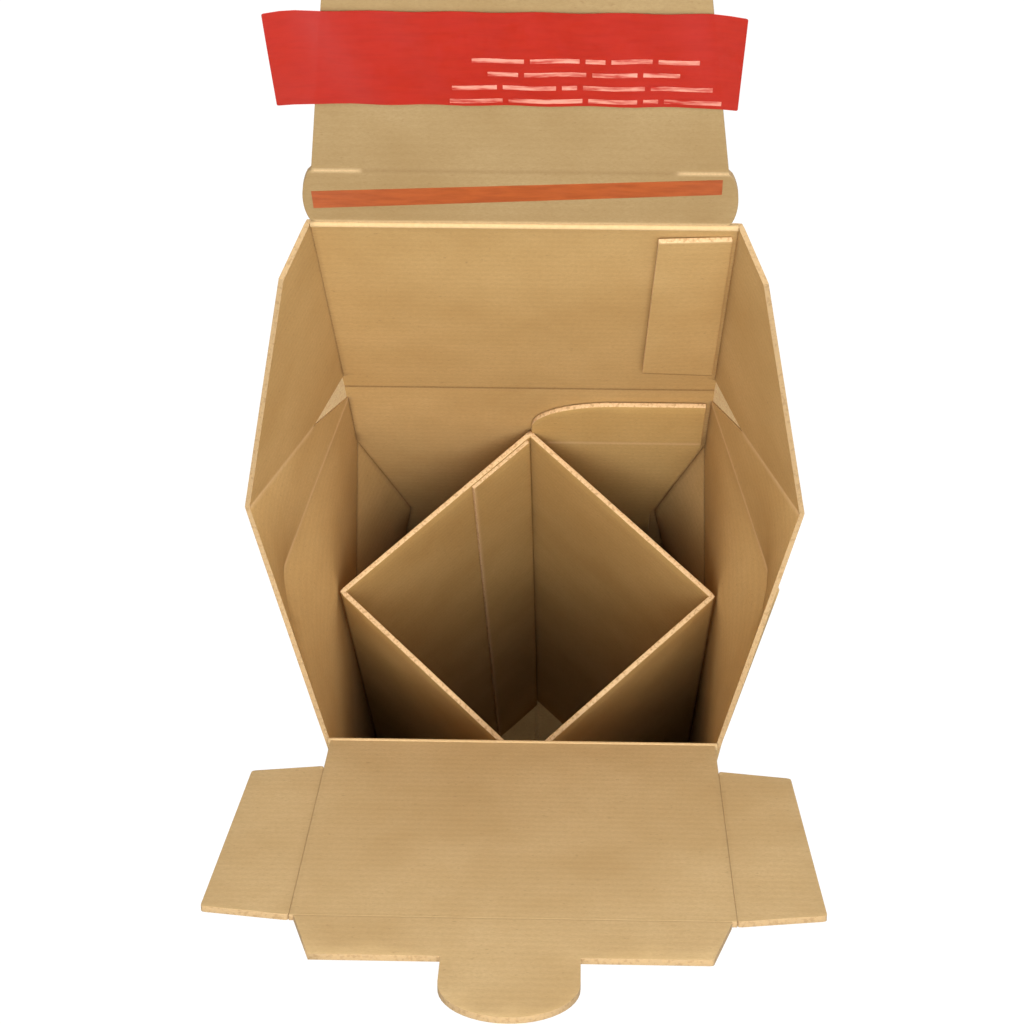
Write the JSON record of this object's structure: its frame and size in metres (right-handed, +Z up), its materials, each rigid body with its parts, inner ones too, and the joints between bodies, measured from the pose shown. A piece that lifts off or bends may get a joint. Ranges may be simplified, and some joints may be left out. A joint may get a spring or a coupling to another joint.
{
  "type": "bottle shipping box",
  "caption": "Tall folded cardboard mailer for one bottle, open, with a square inner sleeve, folding front lid, rear hood and self-adhesive closure flap.",
  "frame": {"origin": "centre of the underside", "axes": "+Z up, +Y to the rear hood, +X to the right seen from the front"},
  "size_m": [0.1542, 0.2213, 0.529],
  "materials": {
    "outer_board": "plain brown kraft board",
    "sleeve_board": "plain brown kraft board",
    "tear_tape": "orange film tape",
    "glue": "tacky glue line",
    "liner_film": "thin red release film"
  },
  "bodies": {
    "box": {"carton": "outer_board", "bottle_sleeve": "sleeve_board"},
    "lid": {"front_lid": "outer_board"},
    "left_ear": {"ear_left": "outer_board"},
    "right_ear": {"ear_right": "outer_board"},
    "tuck": {"tuck_flap": "outer_board"},
    "closure": {"closure_flap": "outer_board", "tear_strip": "tear_tape", "adhesive_strip": "glue", "release_liner": "liner_film"}
  },
  "joints": [
    {"name": "lid_hinge", "type": "hinge", "parent": "box", "child": "lid", "pos_m": [0, -0.056, 0.322], "axis": [1, 0, 0], "range_deg": [-66, 125]},
    {"name": "left_ear_hinge", "type": "hinge", "parent": "lid", "child": "left_ear", "pos_m": [-0.0544, -0.09432, 0.37328], "axis": [0, 0.6184, -0.7859], "range_deg": [0, 90]},
    {"name": "right_ear_hinge", "type": "hinge", "parent": "lid", "child": "right_ear", "pos_m": [0.0544, -0.09432, 0.37328], "axis": [0, -0.6184, 0.7859], "range_deg": [0, 90]},
    {"name": "tuck_hinge", "type": "hinge", "parent": "lid", "child": "tuck", "pos_m": [0, -0.12277, 0.40943], "axis": [-1, 0, 0], "range_deg": [0, 95]},
    {"name": "closure_hinge", "type": "hinge", "parent": "box", "child": "closure", "pos_m": [0, 0.0494, 0.4382], "axis": [1, 0, 0], "range_deg": [-12, 100]}
  ]
}
